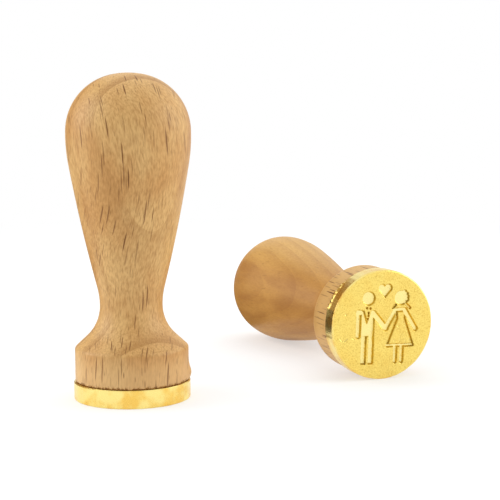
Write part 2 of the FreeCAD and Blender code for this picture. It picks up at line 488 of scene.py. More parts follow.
@dataclass(frozen=True)
class Beech:
    """Turned beech, sanded and left with a thin oil: even honey tan with short dark rays and soft rings.

    Rays are thin upright ribbons that run out from the tree's heart. Cut across they show as short dark
    dashes along the grain, and on end as fine dots. Fine checks run in from the foot's rim, which is torn
    and dark: scorched where the lathe parted it off, and painted shade of the seam against the brass. A
    painted light tone lies on one side of the blank. Cut across the grain, on the shoulder and the dome, the
    rings show more, and a painted highlight makes the wood paler there. Fibres are drawn coarser than real
    ones, which are too fine to show.
    """

    tan: str = "#dab071"
    honey: str = "#c69253"
    # Tone of painted light, on one side of the blank and on the end grain
    lit_tone: str = "#dcb372"
    late_wood: str = "#956329"
    raw: str = "#dcb47c"
    ray: str = "#6f4213"
    # Dark of the foot's rim: scorch, and painted shade of the seam against the brass
    scorch_and_seam_shade: str = "#7a480f"
    heading: float = 0.0
    bend: float = 0.00058
    bend_levels: Point = (52.0, 16.0)
    sway: float = 16.0
    sway_reach: float = 2.2
    patch: float = 10.0
    patch_length: float = 22.0
    patch_edges: Point = (0.34, 0.66)
    # Painted light on one side of the blank: its weight, bearing and edges
    lit_tone_weight: float = 0.0
    lit_tone_bearing: float = 0.0
    lit_tone_edges: Point = (5.0, 13.0)
    # Painted highlight on the end grain
    end_grain_highlight: float = 0.7
    heart_aside: float = 22.0
    heart_distance: float = 48.0
    heart_taper: float = 0.32
    ring_width: float = 5.8
    ring_onset: float = 0.5
    ring_weight: float = 0.12
    ring_gain: float = 3.8
    fibre: float = 0.34
    fibre_length: float = 1.5
    fibre_edges: Point = (0.36, 0.8)
    fibre_weight: float = 0.62
    raw_rise: Point = (2.6, 7.8)
    raw_weight: float = 0.5
    pores: Dashes = Dashes(0.32, 1.0, 3.0, 0.85, 0.5, 0.28)
    rays: Dashes = Dashes(0.45, 4.0, 8.0, 1.0, 1.0, 0.36, 17.9)
    ray_fade: float = 0.75
    ray_face: float = 4.0
    checks: Dashes = Dashes(0.62, 3.0, 3.4, 0.95, 0.9, 0.28)
    tear: float = 0.55
    tear_reach: float = 2.16
    # Reach of the dark foot: scorch, and painted shade of the seam against the brass
    scorch_and_seam_shade_drop: Point = (0.945, 0.54)
    scorch_and_seam_shade_inset: Point = (0.9, 0.27)
    scorch_and_seam_shade_weight: float = 0.85
    gloss: Point = (0.39, 0.55)
    dash_depth: float = 0.5
    relief: Point = (0.35, 0.05)

    def leaning(self, blank: Blank) -> Socket:
        """Coordinates that follow the grain, which is bent, and sways slowly so that its marks wander.

        Over the second level, the grain's slope is bend times the product of the heights over both levels.
        Summed up over the height, that gives a cubic for how far it is aside.

        Args:
            blank: the handle's coordinates.

        Returns:
            The coordinates in metres.
        """
        tree = blank.tree
        first, second = self.bend_levels
        reach = self.sway_reach * MM
        rise = add(tree, "Math", [blank.z, MM], operation="DIVIDE")
        over = add(tree, "Math", [rise, second], operation="MAXIMUM")
        cubic = add(tree, "Math", [over, 1 / 3, -(first + second) / 2], operation="MULTIPLY_ADD")
        square = add(tree, "Math", [cubic, over, first * second], operation="MULTIPLY_ADD")
        plain = add(tree, "Math", [square, over], operation="MULTIPLY")
        aside = add(tree, "Math", [plain, self.bend * MM], operation="MULTIPLY")
        bent = add(tree, "VectorMath", [blank.own, add(tree, "CombineXYZ", [aside])], operation="ADD")
        sway = add(tree, "TexNoise", {"Vector": blank.own, "Scale": 1 / (self.sway * MM), "Detail": 1.0},
                   "Color")
        return add(tree, "VectorMath", [sway, (reach, reach, 0), bent], operation="MULTIPLY_ADD")

    def figure(self, blank: Blank, lean: Socket) -> list[tuple[Socket, str]]:
        """Broad colours: honey patches, a painted light tone on one side, a painted highlight on the end
        grain, and rings about a heart outside the blank.

        A ring's dark part starts at its onset, as a part of its width, and on end grain it gains strength.

        Args:
            blank: the handle's coordinates.
            lean: the coordinates that follow the grain.

        Returns:
            Share and colour of each layer.
        """
        tree = blank.tree
        broad = add(tree, "VectorMath", [blank.own, per_metre(self.patch, self.patch, self.patch_length)],
                    operation="MULTIPLY")
        patch = add(tree, "TexNoise", {"Vector": broad, "Scale": 1.0, "Detail": 3.0, "Roughness": 0.55})
        patches = add(tree, "MapRange", [patch, *self.patch_edges], **SMOOTH)

        # Painted light: a paler tone on one side of the handle
        towards = math.radians(self.lit_tone_bearing)
        start, end = self.lit_tone_edges
        side = add(tree, "VectorMath", [blank.own, (math.cos(towards), math.sin(towards), 0)], "Value",
                   operation="DOT_PRODUCT")
        lit_side = add(tree, "MapRange", [side, start * MM, end * MM, 0, self.lit_tone_weight], **SMOOTH)

        # Painted highlight: paler wood where the surface is cut across the grain
        across = add(tree, "Attribute", [], "Fac", attribute_name="end_grain")
        end_highlight = add(tree, "Math", [across, self.end_grain_highlight], operation="MULTIPLY")
        weight = add(tree, "Math", [across, self.ring_weight * self.ring_gain, self.ring_weight],
                     operation="MULTIPLY_ADD")
        axis = (self.heart_aside * MM, -self.heart_distance * MM, 0)
        way = add(tree, "VectorMath", [lean, (1, 1, self.heart_taper), axis], operation="MULTIPLY_ADD")
        spread = add(tree, "VectorMath", [way], "Value", operation="LENGTH")
        count = add(tree, "Math", [spread, self.ring_width * MM], operation="DIVIDE")
        ring = add(tree, "Math", [count], operation="FRACT")
        rings = add(tree, "MapRange", [ring, self.ring_onset, 1, 0, weight], **SMOOTH)
        return [(patches, self.honey), (lit_side, self.lit_tone), (end_highlight, self.lit_tone), (rings, self.late_wood)]

    def torn_rim(self, blank: Blank, foot: float, rim: float) -> Socket:
        """Dark foot of the collar, torn by noise and only near the rim: scorch, and painted shade of the
        seam against the brass.

        Args:
            blank: the handle's coordinates.
            foot: height of the handle's foot in millimetres.
            rim: radius of the foot's rim in millimetres.

        Returns:
            Share of the dark wood.
        """
        tree = blank.tree
        torn = add(tree, "TexNoise", {"Vector": blank.own, "Scale": 1 / (self.tear * MM), "Detail": 3.0,
                                      "Roughness": 0.7})
        edge = add(tree, "Math", [torn, -self.tear_reach * MM, blank.z], operation="MULTIPLY_ADD")
        low, high = ((foot - drop) * MM for drop in self.scorch_and_seam_shade_drop)
        dark = add(tree, "MapRange", [edge, low, high, self.scorch_and_seam_shade_weight, 0], **SMOOTH)
        outer = add(tree, "MapRange", [blank.out, *((rim - inset) * MM for inset in self.scorch_and_seam_shade_inset)],
                    **SMOOTH)
        return add(tree, "Math", [dark, outer], operation="MULTIPLY")

    def dress(self, name: str, place: Place, foot: float, rim: float) -> bpy.types.Material:
        """Material for one handle, which reads the end_grain attribute of its mesh.

        Args:
            name: name of the material.
            place: where the stamp is, which turns the grain with it.
            foot: height of the handle's foot in millimetres.
            rim: radius of the foot's rim in millimetres.

        Returns:
            The material.
        """
        material, shader = new_material(name, {"IOR": 1.5, "Specular IOR Level": 0.35})
        tree = material.node_tree
        blank = Blank.of(tree, place.coordinates(tree, self.heading), rim)
        lean = self.leaning(blank)
        layers = self.figure(blank, lean)

        # Fine fibres along the grain, and drier, paler wood low on the collar
        fine = add(tree, "VectorMath", [lean, per_metre(self.fibre, self.fibre, self.fibre_length)],
                   operation="MULTIPLY")
        fibre = add(tree, "TexNoise", {"Vector": fine, "Scale": 1.0, "Detail": 2.0})
        fibres = add(tree, "MapRange", [fibre, *self.fibre_edges, 0, self.fibre_weight])
        start, end = ((foot + rise) * MM for rise in self.raw_rise)
        low = add(tree, "MapRange", [blank.z, start, end, 1, 0], **SMOOTH)
        dry = add(tree, "Math", [low, self.raw_weight], operation="MULTIPLY")
        layers += [(fibres, self.late_wood), (dry, self.raw)]

        # Rays lie flat, and fade, on the two sides that face across them; checks show low on the collar
        sideways = add(tree, "Math", [blank.x, blank.out], operation="DIVIDE")
        flatness = add(tree, "Math", [sideways, self.ray_face], operation="POWER")
        upright = add(tree, "Math", [flatness, -self.ray_fade, 1], operation="MULTIPLY_ADD")
        dark = 0.0
        for dashes, spot, where in ((self.pores, lean, 1.0), (self.rays, lean, upright),
                                    (self.checks, blank.unrolled, low)):
            dash = add(tree, "Math", [dashes.drawn(tree, spot), where], operation="MULTIPLY")
            dark = add(tree, "Math", [dark, dash], operation="MAXIMUM")
            layers.append((dash, self.ray))
        # Scorch and painted shade of the seam against the brass at the foot's rim
        layers.append((self.torn_rim(blank, foot, rim), self.scorch_and_seam_shade))

        # Satin sheen that follows the fibres, with the dashes a little sunken
        sunk = add(tree, "Math", [dark, -self.dash_depth, fibre], operation="MULTIPLY_ADD")
        coat(shader, self.tan, layers, (fibre, self.gloss), (sunk, self.relief))
        return material


# The lying handle's lit tone paints light on one side of it
LYING_BEECH = Beech(
    tan="#ba873c", honey="#a4702d", lit_tone="#d4aa62", late_wood="#8a521f", raw="#cea563", heading=78.0,
    patch=6.0, patch_length=24.0, lit_tone_weight=0.75, lit_tone_bearing=192.0, end_grain_highlight=0.3,
    heart_taper=0.22, ring_width=3.2, ring_onset=0.3, ring_weight=0.13, ring_gain=2.2, fibre_weight=0.24,
    raw_rise=(3.6, 10.8), raw_weight=0.75, pores=Dashes(0.4, 1.0, 2.4, 0.8, 0.3),
    rays=Dashes(0.6, 1.8, 7.5, 0.25, 0.45), checks=Dashes(0.36, 2.0, 7.0, 1.0, 1.0, 0.46))


@dataclass(frozen=True)
class SealBrass:
    """Cast brass, turned and lightly bead blasted: bright yellow, with a fine sandy grain.

    Painted shade darkens the picture's walls, most on the side turned from the light, and a painted
    highlight brightens the other side; the picture's floors, which the blasting missed, are paler. The grain
    is drawn coarser than a real one, which is too fine to show.
    """

    bright: str = "#f8dc76"
    warm: str = "#efbd4e"
    deep: str = "#b1851f"
    # Colour of the painted shade on the picture's walls
    wall_shade_colour: str = "#563804"
    # Pale colour under all, also of the floors and of the painted highlight on the walls that face the light
    pale: str = "#fbea9c"
    grain: float = 0.3
    patch: float = 3.6
    bright_shares: Point = (0.45, 1.0)
    mottle_edges: Point = (0.4, 0.68)
    mottle_weight: float = 0.75
    mottle_loss: float = 0.75
    speck_edges: Point = (0.46, 0.8)
    speck_weight: float = 0.7
    pale_weight: float = 0.8
    # Unevenness of the painted shade on the picture's walls
    wall_edges: Point = (0.42, 0.58)
    wall_weights: Point = (0.95, 0.5)
    gloss: Point = (0.18, 0.4)
    relief: Point = (0.5, 0.08)

    def dress(self, name: str) -> bpy.types.Material:
        """Material of a seal head, which reads the wall, floor and sand attributes of its mesh: painted
        shade on the picture's walls, its pale floors with a painted highlight on the walls that face the
        light, and sandy grain.

        Args:
            name: name of the material.

        Returns:
            The material.
        """
        material, shader = new_material(name, {"Metallic": 1.0})
        tree = material.node_tree
        spot = add(tree, "TexCoord", [], "Object")
        grit = add(tree, "TexNoise", {"Vector": spot, "Scale": 1 / (self.grain * MM), "Detail": 3.0,
                                      "Roughness": 0.65})
        patch = add(tree, "TexNoise", {"Vector": spot, "Scale": 1 / (self.patch * MM), "Detail": 2.0,
                                       "Roughness": 0.5})
        wall, floor, sand = (add(tree, "Attribute", [], "Fac", attribute_name=key)
                             for key in ("wall", "floor", "sand"))

        # Warm mottle, less of it on the blasted face, which alone has sandy specks
        bare, blasted = self.bright_shares
        bright = add(tree, "Math", [sand, blasted - bare, bare], operation="MULTIPLY_ADD")
        mottle = add(tree, "MapRange", [patch, *self.mottle_edges, 0, self.mottle_weight], **SMOOTH)
        calm = add(tree, "Math", [sand, -self.mottle_loss, 1], operation="MULTIPLY_ADD")
        cloudy = add(tree, "Math", [mottle, calm], operation="MULTIPLY")
        specks = add(tree, "MapRange", [grit, *self.speck_edges, 0, self.speck_weight])
        grainy = add(tree, "Math", [specks, sand], operation="MULTIPLY")

        # Pale floors with a painted highlight on the lit walls, and painted shade unevenly on the walls
        sunk = add(tree, "Math", [floor, self.pale_weight], operation="MULTIPLY")
        uneven = add(tree, "MapRange", [patch, *self.wall_edges, *self.wall_weights], **SMOOTH)
        # Painted shade on the picture's walls, uneven along them
        wall_shade = add(tree, "Math", [wall, uneven], operation="MULTIPLY")
        raised = add(tree, "Math", [grit, sand], operation="MULTIPLY")
        layers = [(bright, self.bright), (cloudy, self.warm), (grainy, self.deep), (sunk, self.pale),
                  (wall_shade, self.wall_shade_colour)]
        coat(shader, self.pale, layers, (grit, self.gloss), (raised, self.relief))
        return material


@dataclass(frozen=True)
class MachinedMetal:
    """Lathe cut metal: plain reflective colour with fine tool marks across the axis."""

    colour: str
    stain: str
    gloss: Point
    mark: float = 0.12
    mark_length: float = 4.0
    patch: float = 2.0
    stain_edges: Point = (0.4, 0.8)
    stain_weight: float = 0.6
    relief: Point = (0.3, 0.03)

    def dress(self, name: str, place: Place) -> bpy.types.Material:
        """Material of a small turned fitting.

        Args:
            name: name of the material.
            place: where the stamp is, which turns the tool marks with it.

        Returns:
            The material.
        """
        material, shader = new_material(name, {"Metallic": 1.0})
        tree = material.node_tree
        own = place.coordinates(tree)
        long = add(tree, "VectorMath", [own, per_metre(self.mark_length, self.mark_length, self.mark)],
                   operation="MULTIPLY")
        marks = add(tree, "TexNoise", {"Vector": long, "Scale": 1.0, "Detail": 2.0})
        patch = add(tree, "TexNoise", {"Vector": own, "Scale": 1 / (self.patch * MM), "Detail": 3.0})
        shade = add(tree, "MapRange", [patch, *self.stain_edges, 0, self.stain_weight])
        coat(shader, self.colour, [(shade, self.stain)], (marks, self.gloss), (marks, self.relief))
        return material


@dataclass(frozen=True)
class Handle:
    """Turned handle: a bored foot, straight collar, sloped shoulder, cove, swelling body and domed top.

    Wave, fray and drop are how far the sanding waves and the frayed foot go in and the drop of glue stands
    out, and the fields that start with these words say where. Numbers are the least and most waves in a
    turn, and teeth are the spread, mean and greatest depth of the fray.
    """

    stance: Stance
    place: Place
    foot: float = 3.9
    collar_radius: float = 12.2
    collar_height: float = 7.2
    collar_edge_round: float = 0.8
    foot_chamfer: float = 0.3
    shoulder_angle: float = 47.0
    cove_radius: float = 9.0
    neck_radius: float = 6.75
    flare_radius: float = 16.0
    body_radius: float = 334.0
    bulb_radius: float = 13.3
    bulb_rise: float = 36.3
    bulb_side_radius: float = 36.6
    dome_rise: float = 13.1
    dome_corner_inset: float = 1.0
    crown_flatness: float = 5.1
    insert_radius: float = 4.5
    insert_end: float = 15.2
    insert_gap: float = 0.02
    insert_margin: float = 0.6
    pilot_radius: float = 3.4
    pilot_end: float = 16.4
    turns: int = 320
    step: float = 0.44
    bore_step: float = 2.5
    foot_step: float = 1.6
    chamfer_step: float = 0.08
    wave: float = 0.035
    wave_numbers: tuple[int, int] = (2, 5)
    wave_length: float = 9.0
    wave_fade: float = 6.0
    fray: float = 0.24
    fray_numbers: tuple[int, int] = (18, 120)
    fray_teeth: tuple[float, float, float] = (0.6, 0.2, 1.6)
    fray_rise: Point = (0.15, 0.9)
    fray_inset: Point = (1.0, 0.2)
    drop: float = 0.6
    drop_bearing: float = -4.0
    drop_rise: float = 1.7
    drop_spread: Point = (1.6, 1.5)
    drop_foot: Point = (-0.01, 0.5)

    def neck(self) -> float:
        """Height of the narrowest ring: over the collar, the shoulder's slope and then the cove's tangent.

        Returns:
            The height over the seal's face.
        """
        slope = math.radians(self.shoulder_angle)
        rise = (self.collar_radius - self.neck_radius) / math.tan(slope)
        return self.foot + self.collar_height + rise + self.cove_radius * math.tan(slope / 2)

    def profile(self) -> tuple[np.ndarray, int]:
        """Profile from the end of the bore, round the foot and up the outside to the top.

        Lines and tangent arcs follow each other as on the solid: the shoulder's slope is rounded into the
        collar and runs into the cove; the flare, body, bulb side, dome corner and crown each touch the next.

        Returns:
            Radius and height of each step, and the step where the outside starts.
        """
        slope = math.radians(self.shoulder_angle)
        neck = self.neck()
        bulb = neck + self.bulb_rise
        corner_radius = self.bulb_radius - self.dome_corner_inset
        crown_radius = corner_radius + self.crown_flatness
        edge = (self.collar_radius - self.collar_edge_round,
                self.foot + self.collar_height - self.collar_edge_round * math.tan(slope / 2))
        cove = (self.neck_radius + self.cove_radius, neck)
        flare = (self.neck_radius + self.flare_radius, neck)
        side = (self.bulb_radius - self.bulb_side_radius, bulb)
        crown = (0.0, bulb + self.dome_rise - crown_radius)
        body = circles_meet(side, self.body_radius - self.bulb_side_radius,
                            flare, self.body_radius + self.flare_radius)[0]
        corner = circles_meet(side, self.bulb_side_radius - corner_radius,
                              crown, crown_radius - corner_radius)[1]
        bored = self.insert_radius + self.insert_gap
        bore = run((self.pilot_radius, self.pilot_end), (self.pilot_radius, self.insert_end),
                   (bored, self.insert_end), (bored, self.foot), step=self.bore_step)
        shoulder = arc(edge, self.collar_edge_round, 0, slope, self.step / 2)
        hollow = arc(cove, self.cove_radius, math.pi + slope, math.pi, self.step)
        inner = (self.collar_radius - self.foot_chamfer, self.foot)
        outer = (self.collar_radius, self.foot + self.foot_chamfer)
        outside = [
            run((self.insert_radius + self.insert_margin, self.foot), inner, step=self.foot_step),
            run(inner, outer, step=self.chamfer_step)[1:],
            run(outer, tuple(shoulder[0]), step=self.step)[1:-1],
            shoulder,
            run(tuple(shoulder[-1]), tuple(hollow[0]), step=self.step)[1:-1],
            hollow,
            arc(flare, self.flare_radius, math.pi, math.pi + bearing(body, flare), self.step)[1:],
            arc(body, self.body_radius, bearing(body, flare), bearing(body, side), self.step)[1:],
            arc(side, self.bulb_side_radius, bearing(body, side), bearing(side, corner), self.step)[1:],
            arc(corner, corner_radius, bearing(side, corner), bearing(crown, corner), self.step)[1:],
            arc(crown, crown_radius, bearing(crown, corner), math.pi / 2, self.step)[1:-1],
        ]
        return np.vstack([bore, *outside]), len(bore)

    def build(self) -> bpy.types.Object:
        """Handle as a surface of revolution whose radius also varies a little with angle.

        Returns:
            The piece, with an attribute for how far its surface is cut across the grain. Hand sanding leaves
            slow waves, the foot's rim is frayed, and on the standing stamp a drop of glue stands on the
            collar's right.
        """
        outline, outside = self.profile()
        angle = np.linspace(0, TURN, self.turns, endpoint=False)
        radius, height = (np.repeat(outline[:, at:at + 1], self.turns, axis=1) for at in (0, 1))
        seed = HANDLE_SEEDS[self.stance]
        skin = (np.arange(len(outline)) >= outside)[:, None]
        slow = wavy(angle, self.wave_numbers, seed) * np.sin(outline[:, 1:] / self.wave_length + seed)
        clear = ease(outline[:, :1], 0, self.wave_fade) * ease(height, self.foot, self.foot + self.wave_fade)
        radius = radius - skin * clear * self.wave * np.clip(1 + slow, 0, 2)

        start, end = (self.foot + rise for rise in self.fray_rise)
        inner, outer = (self.collar_radius - inset for inset in self.fray_inset)
        near_foot = skin * (1 - ease(height, start, end)) * ease(radius, inner, outer)
        spread, mean, most = self.fray_teeth
        torn = np.clip(wavy(angle, self.fray_numbers, seed + 1) * spread + mean, 0, most)
        radius = radius - self.fray * near_foot * torn
        if self.stance is Stance.STANDING:
            radius = radius + skin * self.glue_drop(angle, height)

        top = self.neck() + self.bulb_rise + self.dome_rise
        piece = turned(f"{self.stance.value}_turned_handle", radius, height, angle, (self.pilot_end, top),
                       self.place)
        step = np.gradient(outline, axis=0)
        across = np.abs(step[:, 0]) / np.hypot(step[:, 0], step[:, 1])
        note(piece, "end_grain", np.append(np.repeat(across, self.turns), (1, 1)))
        return piece

    def glue_drop(self, angle: np.ndarray, height: np.ndarray) -> np.ndarray:
        """Dried drop on the collar: a round hump in angle and height.

        Args:
            angle: angle of each column of the handle.
            height: height of each point of the handle.

        Returns:
            How far the drop stands out at each point.
        """
        wide, tall = self.drop_spread
        aside = turn_from(angle, self.drop_bearing) * self.collar_radius
        hump = np.exp(-(aside / wide) ** 2 - ((height - self.foot - self.drop_rise) / tall) ** 2)
        return self.drop * hump * ease(height, *(self.foot + rise for rise in self.drop_foot))


def to_stroke(across: np.ndarray, up: np.ndarray, start: Point, end: Point) -> np.ndarray:
    """Distance of each point from its nearest point on a straight stroke's middle line.

    Args:
        across: first coordinate of each point.
        up: second coordinate of each point.
        start: one end of the stroke.
        end: its other end.

    Returns:
        The distances.
    """
    way = (end[0] - start[0], end[1] - start[1])
    part = ((across - start[0]) * way[0] + (up - start[1]) * way[1]) / (way[0] ** 2 + way[1] ** 2)
    part = np.clip(part, 0, 1)
    return np.hypot(across - start[0] - part * way[0], up - start[1] - part * way[1])


def to_area(across: np.ndarray, up: np.ndarray, corners: tuple[Point, ...]) -> np.ndarray:
    """Distance of each point from the nearest side of a straight sided area.

    A point is inside if a level ray from it crosses an odd count of sides.

    Args:
        across: first coordinate of each point.
        up: second coordinate of each point.
        corners: the area's corners in order.

    Returns:
        The distances, negative inside.
    """
    near = np.full(across.shape, np.inf)
    inside = np.zeros(across.shape, dtype=bool)
    for start, end in zip(corners, corners[1:] + corners[:1]):
        near = np.minimum(near, to_stroke(across, up, start, end))
        crosses = (start[1] > up) != (end[1] > up)
        rise = end[1] - start[1] or TINY
        inside ^= crosses & (across < start[0] + (up - start[1]) * (end[0] - start[0]) / rise)
    return np.where(inside, -near, near)


@dataclass(frozen=True)
class Picture:
    """Sunken picture of a couple hand in hand under a heart, on a grid where 100 units reach its border.

    A stroke is its two ends and half its width, and a disc is its middle and radius.
    """

    unit: float = 0.109
    right: float = 0.15
    raised: float = 0.4
    depth: float = 0.7
    wall: float = 0.34
    strokes: tuple[Stroke, ...] = (
        ((-56, 24), (-56, -26), 5),
        ((-56, 22), (-50, 22), 6),
        ((-22, 21), (7, -11), 6),
        ((28, 25), (7, -11), 5),
        ((28, 26), (50, 27), 4),
        ((51, 24), (76, -14), 5),
        ((30, 23), (32, 8), 2),
        ((51, 24), (49, 9), 2),
        ((32, 8), (12, -44), 2),
        ((49, 9), (69, -44), 2),
        ((11, -48), (70, -48), 3),
        ((31, -50), (31, -82), 4),
        ((46, -50), (46, -82), 4),
    )
    discs: tuple[tuple[Point, float], ...] = (
        ((-34, 52), 14),
        ((41, 52), 15),
        ((-4, 73), 8),
        ((10, 73), 8),
    )
    areas: tuple[tuple[Point, ...], ...] = (
        ((-48, -26), (-37, -26), (-37, -85), (-48, -85)),
        ((-31, -26), (-20, -26), (-20, -85), (-31, -85)),
        ((-10, 68), (3, 73), (16, 68), (3, 53)),
    )
    jacket: tuple[Point, ...] = ((-48, 26), (-20, 26), (-20, -28), (-48, -28))
    shirt: tuple[Point, ...] = ((-46, 32), (-24, 32), (-35, -1))
    buttons: tuple[Point, ...] = ((-34, 22), (-34, 16), (-35, 9), (-38, 32), (-30, 31))
    button_radius: float = 1.8
    curls: tuple[Stroke, ...] = (
        ((28, 37), (22, 31), 2.0),
        ((52, 38), (61, 30), 2.4),
    )
    hair: tuple[Point, ...] = ((50, 43), (54, 48), (54, 54), (52, 60), (48, 64))
    hair_radius: float = 4.2
    dress: tuple[Point, ...] = ((34, 8), (47, 8), (67, -43), (15, -43))
    dress_edge: float = 4.0
    dress_grain: float = 0.08
    bead_cells: Point = (0.36, 0.22)
    bead_seeds: tuple[int, int] = (3, 4)
    nicks: tuple[Stroke, ...] = (
        ((-86, 21), (-85, 20), 2.2),
        ((-88, -36), (-80, -31), 1.0),
        ((-97, -30), (-92, -35), 0.9),
        ((-70, -29), (-65, -32), 0.9),
    )
    nick_depth: float = 0.12
    nick_edge: float = 0.12

    def sunk(self, across: np.ndarray, up: np.ndarray) -> np.ndarray:
        """Depth of the picture below the face, from the distance to the nearest outline with a sloped wall.

        Args:
            across: millimetres to the right of the face's centre, seen from outside.
            up: millimetres above the face's centre.

        Returns:
            Depth in millimetres at each point.
        """
        x = (across - self.right) / self.unit
        y = (up - self.raised) / self.unit
        coat_edge = np.maximum(to_area(x, y, self.jacket), -to_area(x, y, self.shirt))
        rounds = list(self.discs)
        rounds += [(at, self.hair_radius) for at in self.hair]
        rounds += [(at, self.button_radius) for at in self.buttons]
        edges = [coat_edge]
        edges += [to_area(x, y, area) for area in self.areas]
        edges += [np.hypot(x - at[0], y - at[1]) - size for at, size in rounds]
        edges += [to_stroke(x, y, start, end) - half for start, end, half in self.strokes + self.curls]
        near = np.minimum.reduce(edges)
        cut = self.depth * (1 - ease(near * self.unit, -0.5 * self.wall, 0.5 * self.wall))
        cloth = 1 - ease(to_area(x, y, self.dress), -self.dress_edge, 0)
        coarse, fine = (rough(across, up, *pair) for pair in zip(self.bead_cells, self.bead_seeds))
        beads = np.clip(coarse + 0.5 * fine, 0, 1)
        scar = np.minimum.reduce([to_stroke(x, y, start, end) - half for start, end, half in self.nicks])
        nick = self.nick_depth * ease(scar * self.unit, self.nick_edge, -self.nick_edge)
        return np.maximum.reduce([cut, self.dress_grain * cloth * beads, nick])


@dataclass(frozen=True)
class SealHead:
    """Thick brass disc: an engraved face that looks down the axis, a plain wall, and a seat for the stud.

    Sand and pits roughen the face inside its border, dents and knocks wear the wall, and the bead is a rough
    burr on the lying head's back edge. Wall shade is painted shade on the picture's walls, heaviest on those
    turned from the light.
    """

    stance: Stance
    place: Place
    picture: Picture = field(default_factory=Picture)
    radius: float = 12.5
    thickness: float = 3.9
    edge_round: float = 0.35
    back_chamfer: float = 0.2
    seat_radius: float = 3.05
    seat_floor: float = 1.5
    rim_step: float = 0.1
    wall_step: float = 0.2
    back_step: float = 4.0
    cells: int = 250
    border: Point = (0.1, 0.5)
    # Way and shares of the painted shade on the picture's walls
    wall_shade_way: Point = (0.85, 0.5)
    wall_shade_shares: Point = (0.3, 0.7)
    floor_start: float = 0.8
    pale_smoothness: float = 0.7
    sand: float = 0.012
    sand_most: float = 2.8
    sand_cells: Point = (0.22, 0.5)
    sand_coarse: float = 0.8
    pits: int = 110
    pit_reach: float = 0.9
    pit_sizes: Point = (0.10, 0.26)
    pit_depth: float = 0.22
    worn_inset: Point = (0.6, 0.2)
    dent: float = 0.012
    dent_numbers: tuple[int, int] = (5, 60)
    knock: float = 0.03
    knock_numbers: tuple[int, int] = (9, 40)
    knock_onset: float = 1.2
    bead_bearing: float = 210.0
    bead_reach: Point = (21.0, 12.0)
    bead_size: float = 0.2
    bead_lumps: float = 0.16
    bead_cell: float = 0.45
    bead_limits: Point = (0.02, 0.5)
    bead_rise: Point = (2.7, 3.3)

    def face(self) -> tuple[np.ndarray, np.ndarray, np.ndarray]:
        """Face as a square grid drawn out to a disc, each point at its engraved depth.

        A point (u, v) of the square goes to (u * sqrt(1 - v * v / 2), v * sqrt(1 - u * u / 2)) of the disc.

        Returns:
            Points of the grid, and from 0 to 1 the painted shade on the picture's walls and its pale parts:
            the floors, and a painted highlight on the walls that face the light. Shaded walls face left and
            up as the picture is seen, highlighted ones the other way.
        """
        side = np.linspace(-1, 1, self.cells + 1)
        u, v = np.meshgrid(side, side)
        flat = self.radius - self.edge_round
        x = flat * u * np.sqrt(1 - v * v / 2)
        y = flat * v * np.sqrt(1 - u * u / 2)
        depth = self.picture.depth
        sunk = self.picture.sunk(x, -y)
        steep = np.clip(4 * sunk / depth * (1 - sunk / depth), 0, 1)
        # Painted shade on the walls, most on those turned from the light
        rise_down, rise_right = np.gradient(-sunk)
        right, down = self.wall_shade_way
        facing = (right * rise_right + down * rise_down) / np.maximum(np.hypot(rise_right, rise_down), TINY)
        mean, swing = self.wall_shade_shares
        wall_shade = steep * np.clip(mean + swing * facing, 0, 1)
        # Pale floors, and a painted highlight on the walls that face the light
        bottom = ease(sunk, self.floor_start * depth, depth)
        pale = np.maximum(bottom, steep * np.clip(-facing, 0, 1))
        inner = ease(np.hypot(x, y), *(flat - inset for inset in self.border))
        seed = FACE_SEEDS[self.stance]
        fine, coarse = self.sand_cells
        grain = rough(x, y, fine, seed) + self.sand_coarse * rough(x, y, coarse, seed + 1)
        z = sunk + inner * (self.sand * np.clip(1 + grain, 0, self.sand_most) + self.pitting(x, y, seed))
        return np.stack([x, y, z], axis=-1), wall_shade, pale

    def pitting(self, x: np.ndarray, y: np.ndarray, seed: int) -> np.ndarray:
        """Small casting pits scattered over the face, each a round dimple that falls off as a bell curve.

        Args:
            x: first coordinate of each point.
            y: second coordinate of each point.
            seed: seed of the scatter.

        Returns:
            Depth of the pits at each point.
        """
        draw = np.random.default_rng(seed)
        spread = self.radius * np.sqrt(draw.uniform(0, self.pit_reach, self.pits))
        angle = draw.uniform(0, TURN, self.pits)
        size = draw.uniform(*self.pit_sizes, self.pits)
        total = np.zeros_like(x)
        for away, turn, wide in zip(spread, angle, size):
            near = np.hypot(x - away * math.cos(turn), y - away * math.sin(turn))
            total += self.pit_depth * wide * np.exp(-(near / (0.5 * wide)) ** 2)
        return total

    def wall_profile(self) -> np.ndarray:
        """Profile from the face's edge round the rim, up the wall and over the back to the seat.

        Returns:
            Radius and height of each step.
        """
        back = self.thickness - self.back_chamfer
        inset = self.radius - self.back_chamfer
        return np.vstack([
            arc((self.radius - self.edge_round, self.edge_round), self.edge_round, -math.pi / 2, 0,
                self.rim_step)[1:],
            run((self.radius, self.edge_round), (self.radius, back), step=self.wall_step)[1:],
            run((self.radius, back), (inset, self.thickness), step=self.rim_step)[1:],
            run((inset, self.thickness), (self.seat_radius, self.thickness), step=self.back_step)[1:],
            [(self.seat_radius, self.seat_floor)],
        ])

